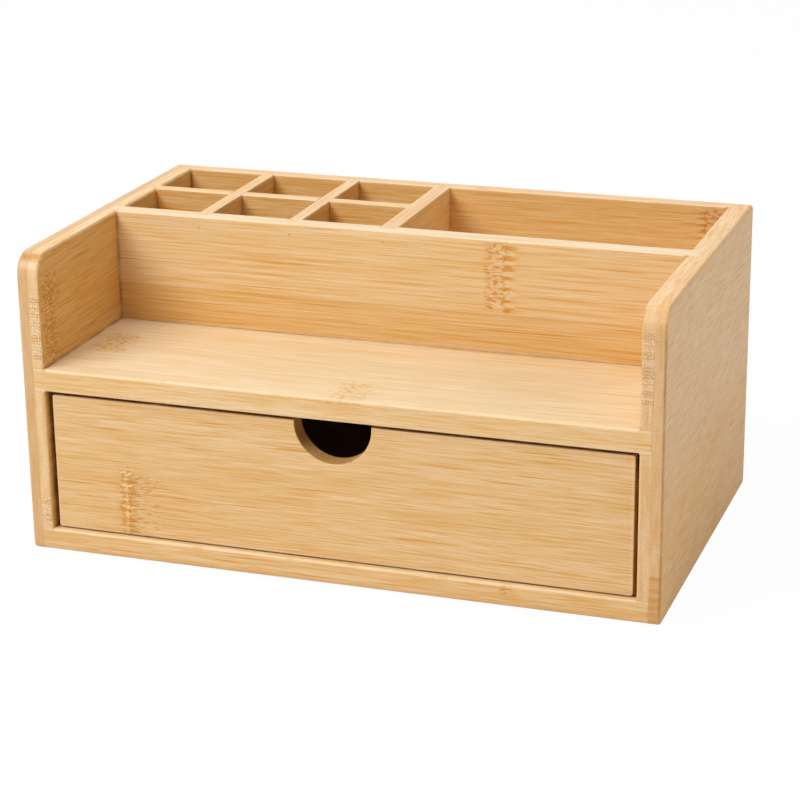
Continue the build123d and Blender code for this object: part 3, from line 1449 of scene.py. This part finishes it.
    def _back_finish(self) -> BambooFinish:
        """Gives the back panel's finish.

        Returns:
            The finish.
        """
        low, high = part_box("back_panel")
        return BambooFinish(
            "bamboo_back", Axis.ACROSS, Axis.UP, 5.3, crown_painted_light=Cane.TAN, lines=0.8, streaks=0.7, pitch=0.8,
            strips=(Strip(self.back_strip, Cane.GOLD, line=0.2),),
            marks=(
                Knuckle(
                    144 * MM, 138 * MM, 157 * MM, low.y, half_width=5 * MM, strength=0.9,
                    pore_pitch=3.5 * MM, bars=True, hand=Hand.BACK,
                ),
                Flecks(18 * MM, 160 * MM, 165 * MM, low.y, half_width=6 * MM, strength=0.5),
                Flecks(-84 * MM, 14 * MM, 42 * MM, high.y, half_width=9 * MM, strength=0.6),
                Flecks(62 * MM, 48 * MM, 76 * MM, high.y, half_width=9 * MM, strength=0.5),
            ),
            seams=(*self._between_sides(low.y), Seam(Axis.UP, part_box("shelf")[1].z, low.y)),
        )

    def _wall_finish(self) -> BambooFinish:
        """Gives the tray wall's finish.

        Returns:
            The finish.
        """
        low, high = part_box("tray_wall")
        return BambooFinish(
            "bamboo_tray_wall", Axis.ACROSS, Axis.UP, 6.1,
            cane=Cane.AMBER, crown_painted_light=Cane.CREAM, lines=0.85, streaks=1.1, length=1.8,
            strips=(Strip(low.z + self.wall_strip, Cane.STRAW),),
            marks=(
                Knuckle(
                    58.5 * MM, low.z + self.wall_strip + 1 * MM, high.z - 1 * MM, low.y, half_width=5 * MM,
                    flame=7 * MM, pore_pitch=5.5 * MM, bars=True,
                ),
            ),
            seams=(Seam(Axis.UP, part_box("shelf")[1].z, low.y, strength=0.3), *self._between_sides(low.y)),
        )


@dataclass
class Rack:
    """The dividers behind the tray wall, and the brads that hold them.

    Attributes:
        slot: The record's material slot; not used.
        nailed: The boards behind the tray wall that are nailed to it.
        brad_drop: How far the brads sit below the wall's top edge.
        brad_radius: Radius of a head.
        brad_height: How far a head stands out.
        brad_sides: Sides of a head.
        brad_profile: Rings of a head from the root to the crown, as shares of its radius and height.
    """

    slot: str = "bamboo_case"
    nailed: tuple[str, ...] = ("cross_divider_1", "cross_divider_2", "partition")
    brad_drop: float = 5.5 * MM
    brad_radius: float = 0.6 * MM
    brad_height: float = 0.06 * MM
    brad_sides: int = 20
    brad_profile: tuple[tuple[float, float], ...] = ((1.0, -0.6), (1.0, 0.2), (0.82, 0.75), (0.45, 1.0))

    def dress(self) -> None:
        """Gives every divider its finish."""
        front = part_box("long_divider")[0].y
        dividers = {
            "long_divider": BambooFinish(
                "bamboo_long_divider", Axis.ACROSS, Axis.UP, 7.7, Cane.GOLD,
                marks=(Flecks(-52 * MM, 138 * MM, 152 * MM, front, half_width=6 * MM, strength=0.5),),
            ),
            "cross_divider_1": self._cross_finish("bamboo_cross_divider_1", 8.3),
            "cross_divider_2": self._cross_finish("bamboo_cross_divider_2", 10.0),
            "partition": BambooFinish(
                "bamboo_partition", Axis.DEEP, Axis.UP, 11.7, Cane.AMBER,
                crown_painted_light=Cane.TAN, streaks=0.3, pitch=0.65,
            ),
        }
        for node, finish in dividers.items():
            dress(node, finish)

    def _cross_finish(self, name: str, seed: float) -> BambooFinish:
        """Gives the finish of a cross divider, which is the darkest cane in the rack."""
        return BambooFinish(name, Axis.DEEP, Axis.UP, seed, Cane.RUSSET)

    def brads(self) -> None:
        """Builds the brad heads in the tray wall's front face, one at each nailed board."""
        wall_low, wall_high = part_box("tray_wall")
        finish = SteelFinish().material()
        for node in self.nailed:
            low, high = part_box(node)
            centre = Vector(((low.x + high.x) / 2, wall_low.y, wall_high.z - self.brad_drop))
            brad = self._brad(f"brad_{node}", centre)
            brad.data.materials.append(finish)
            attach(brad, "case")
            log.info("built %s", brad.name)

    def _brad(self, name: str, centre: Vector) -> bpy.types.Object:
        """Turns one slightly domed brad head that faces the front.

        Args:
            name: Name of the piece.
            centre: Centre of the head, on the wall's face.

        Returns:
            The piece.
        """
        shape = bmesh.new()
        angles = [math.tau * step / self.brad_sides for step in range(self.brad_sides)]
        rings = []
        for reach, lift in self.brad_profile:
            radius = reach * self.brad_radius
            spokes = (Vector((math.cos(angle) * radius, 0.0, math.sin(angle) * radius)) for angle in angles)
            rise = Vector((0.0, -lift * self.brad_height, 0.0))
            rings.append([shape.verts.new(centre + rise + spoke) for spoke in spokes])
        for lower, upper in zip(rings, rings[1:]):
            for step in range(self.brad_sides):
                after = (step + 1) % self.brad_sides
                shape.faces.new((lower[step], lower[after], upper[after], upper[step]))
        shape.faces.new(rings[-1])
        shape.faces.new(list(reversed(rings[0])))
        bmesh.ops.recalc_face_normals(shape, faces=shape.faces)
        mesh = bpy.data.meshes.new(name)
        shape.to_mesh(mesh)
        shape.free()
        brad = bpy.data.objects.new(name, mesh)
        bpy.context.scene.collection.objects.link(brad)
        return brad


@dataclass
class Drawer:
    """The drawer's front, sides, back and bottom.

    Attributes:
        front_slot: The record's material slot of the front; not used.
        box_slot: The record's material slot of the other boards; not used.
        lip: How far behind the front's face the painted shade on its top edge is darkest.
        shade_reach: How far the painted shade on its edges spreads.
        mark_height: Height of the cane's joint at the front's lower edge.
    """

    front_slot: str = "bamboo_drawer_front"
    box_slot: str = "bamboo_drawer_box"
    lip: float = 2 * MM
    shade_reach: float = 0.5 * MM
    mark_height: float = 34 * MM

    def dress(self) -> None:
        """Gives every board of the drawer its finish."""
        dress("drawer_front", self._front_finish())
        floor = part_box("drawer_bottom")[1].z
        boards = {
            "drawer_back": BambooFinish("bamboo_drawer_back", Axis.ACROSS, Axis.UP, 10.1),
            "drawer_bottom": BambooFinish(
                "bamboo_drawer_bottom", Axis.ACROSS, Axis.DEEP, 11.1, Cane.CREAM,
                marks=(Flecks(70 * MM, -30 * MM, 12 * MM, floor, half_width=11 * MM, strength=0.7),),
            ),
            "drawer_side_left": BambooFinish("bamboo_drawer_side_left", Axis.DEEP, Axis.UP, 12.1),
            "drawer_side_right": BambooFinish(
                "bamboo_drawer_side_right", Axis.DEEP, Axis.UP, 13.1, Cane.STRAW,
            ),
        }
        for node, finish in boards.items():
            dress(node, finish)

    def _front_finish(self) -> BambooFinish:
        """Gives the front's finish, with painted shade along its top and bottom edges and on its ends, where
        they lie in the gaps.

        Returns:
            The finish.
        """
        low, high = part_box("drawer_front")
        return BambooFinish(
            "bamboo_drawer_front", Axis.ACROSS, Axis.UP, 9.1,
            # The darker ends and top edge paint the shade in the gaps round the drawer.
            end_cane=Cane.UMBER, crown_painted_light=Cane.RUSSET, lines=0.8, ends_worn_and_highlit=True,
            seams=(
                Seam(Axis.UP, high.z, low.y, strength=0.3, reach=self.shade_reach),
                Seam(Axis.UP, high.z, low.y + self.lip, strength=0.5, reach=self.shade_reach),
                Seam(Axis.UP, low.z, low.y, strength=0.4, reach=self.shade_reach),
            ),
            marks=(
                Knuckle(
                    -112 * MM, low.z, low.z + self.mark_height, low.y, half_width=4 * MM,
                    fan=18 * MM, pore_pitch=3 * MM,
                ),
            ),
        )


@dataclass
class Pads:
    """The four pads under the base.

    Attributes:
        slot: The record's material slot; not used.
        ends: Names of the rows.
        hands: Names of the pads in a row.
    """

    slot: str = "foot_pad"
    ends: tuple[str, ...] = ("front", "back")
    hands: tuple[str, ...] = ("left", "right")

    def dress(self) -> None:
        """Gives every pad its finish."""
        for end in self.ends:
            for hand in self.hands:
                dress(f"foot_pad_{end}_{hand}", RubberFinish(f"rubber_{end}_{hand}"))


# --------------------------------------------------------------------------------------------------
# Studio
# --------------------------------------------------------------------------------------------------


@dataclass(frozen=True)
class Lamp:
    """A soft box that points at the organizer.

    Attributes:
        name: Name of the lamp.
        turn: Degrees round from the front, positive to the right.
        rise: Degrees above the floor.
        watts: Its power.
    """

    name: str
    turn: float
    rise: float
    watts: float


@dataclass
class Studio:
    """The floor, the lights and the camera.

    Attributes:
        floor_half: Half of the floor's width.
        floor_colour: The floor's own colour, which takes the shadow.
        floor_roughness: The floor's roughness.
        floor_show: How much plain white the camera sees over the floor.
        floor_gloss: How much plain white reflections see over the floor.
        lamps: The soft boxes.
        lamp_reach: Distance of the lamps from the point that they aim at.
        lamp_width: Width of a soft box.
        lamp_height: Height of a soft box.
        lamp_aim: The point that the lamps aim at.
        fill: Strength of the soft light from all around.
        camera_place: Where the camera stands.
        camera_turn: How far it stands round to the right.
        camera_dip: How far it looks down.
        camera_roll: How far it leans.
        lens: Its focal length in millimetres.
        sensor: Width of its sensor in millimetres.
        clip_start: The nearest distance that it sees.
    """

    floor_half: float = 6.0
    floor_colour: Colour = (0.9, 0.9, 0.9, 1.0)
    floor_roughness: float = 0.9
    floor_show: float = 0.97
    floor_gloss: float = 0.15
    lamps: tuple[Lamp, ...] = (
        Lamp("key", -35, 42, 47.0),
        Lamp("top", 0, 88, 19.5),
        Lamp("side", 90, 25, 17.5),
        Lamp("back", -150, 50, 12.0),
        Lamp("rim", -160, 20, 3.0),
    )
    lamp_reach: float = 2.5
    lamp_width: float = 1.5
    lamp_height: float = 1.2
    lamp_aim: Vector = field(default_factory=lambda: Vector((0.0, 0.0, 0.08)))
    fill: float = 0.1
    camera_place: tuple[float, float, float] = (0.39317, -1.12551, 0.47754)
    camera_turn: float = math.radians(19.20)
    camera_dip: float = math.radians(19.06)
    camera_roll: float = math.radians(-0.73)
    lens: float = 108.45
    sensor: float = 36.0
    clip_start: float = 0.05

    def build(self) -> None:
        """Sets up the floor, the lights, the world and the camera."""
        self._floor()
        self._world()
        for lamp in self.lamps:
            self._hang(lamp)
        self._camera()
        bpy.context.scene.view_settings.view_transform = "Standard"
        log.info("set up the studio with %d lamps", len(self.lamps))

    def _floor(self) -> None:
        """Lays a pale floor that shows as white, with a faint shadow."""
        mesh = bpy.data.meshes.new("floor")
        half = self.floor_half
        corners = [(-half, -half, 0.0), (half, -half, 0.0), (half, half, 0.0), (-half, half, 0.0)]
        mesh.from_pydata(corners, [], [(0, 1, 2, 3)])
        floor = bpy.data.objects.new("floor", mesh)
        bpy.context.scene.collection.objects.link(floor)
        recipe = Recipe("floor_white")
        recipe.set("Base Color", self.floor_colour)
        recipe.set("Roughness", self.floor_roughness)
        seen = recipe.ray("Camera").at_least(recipe.ray("Transmission")) * self.floor_show
        seen = seen.at_least(recipe.ray("Glossy") * self.floor_gloss)
        white = recipe.node("ShaderNodeEmission")
        self._show_white(recipe, seen, recipe.shader, white, recipe.output)
        mesh.materials.append(recipe.material)

    def _world(self) -> None:
        """Fills the studio with soft white light, and shows as plain white."""
        world = bpy.data.worlds.new("studio")
        bpy.context.scene.world = world
        world.use_nodes = True
        tree = Tree(world.node_tree)
        fill = tree.node("ShaderNodeBackground")
        tree.feed(fill.inputs["Strength"], self.fill)
        seen = tree.ray("Camera").at_least(tree.ray("Glossy")).at_least(tree.ray("Transmission"))
        white = tree.node("ShaderNodeBackground")
        self._show_white(tree, seen, fill, white, tree.node("ShaderNodeOutputWorld"))

    def _show_white(
        self, tree: Tree, seen: Field, under: bpy.types.Node, white: bpy.types.Node, output: bpy.types.Node
    ) -> None:
        """Mixes plain white over what lies under it, for the rays that look straight at it.

        Args:
            tree: The tree.
            seen: How much of the white shows.
            under: The shader below.
            white: The white shader.
            output: The tree's output.
        """
        mix = tree.node("ShaderNodeMixShader")
        for target, value in zip(mix.inputs, (seen, under.outputs[0], white.outputs[0])):
            tree.feed(target, value)
        tree.feed(output.inputs["Surface"], mix.outputs[0])

    def _hang(self, lamp: Lamp) -> None:
        """Hangs a soft box on the sphere of lamp_reach around the point that the lamps aim at.

        Args:
            lamp: The lamp.
        """
        turn, rise = math.radians(lamp.turn), math.radians(lamp.rise)
        away = Vector((math.sin(turn) * math.cos(rise), -math.cos(turn) * math.cos(rise), math.sin(rise)))
        light = bpy.data.lights.new(lamp.name, "AREA")
        light.shape = "RECTANGLE"
        light.size = self.lamp_width
        light.size_y = self.lamp_height
        light.energy = lamp.watts
        holder = bpy.data.objects.new(lamp.name, light)
        bpy.context.scene.collection.objects.link(holder)
        holder.location = self.lamp_aim + away * self.lamp_reach
        holder.rotation_euler = (-away).to_track_quat("-Z", "Y").to_euler()

    def _camera(self) -> None:
        """Stands the camera at the front right, a little above."""
        optics = bpy.data.cameras.new("camera")
        optics.lens = self.lens
        optics.sensor_width = self.sensor
        optics.clip_start = self.clip_start
        camera = bpy.data.objects.new("camera", optics)
        bpy.context.scene.collection.objects.link(camera)
        turn = Matrix.Rotation(self.camera_turn, 4, "Z")
        dip = Matrix.Rotation(math.pi / 2 - self.camera_dip, 4, "X")
        roll = Matrix.Rotation(self.camera_roll, 4, "Z")
        camera.matrix_world = Matrix.Translation(self.camera_place) @ turn @ dip @ roll
        bpy.context.scene.camera = camera


def main() -> None:
    """Dresses the organizer and sets up the studio."""
    logging.basicConfig(level=logging.INFO, format="%(name)s: %(message)s")
    Case().dress()
    rack = Rack()
    rack.dress()
    rack.brads()
    Drawer().dress()
    Pads().dress()
    Studio().build()


if __name__ == "__main__":
    main()
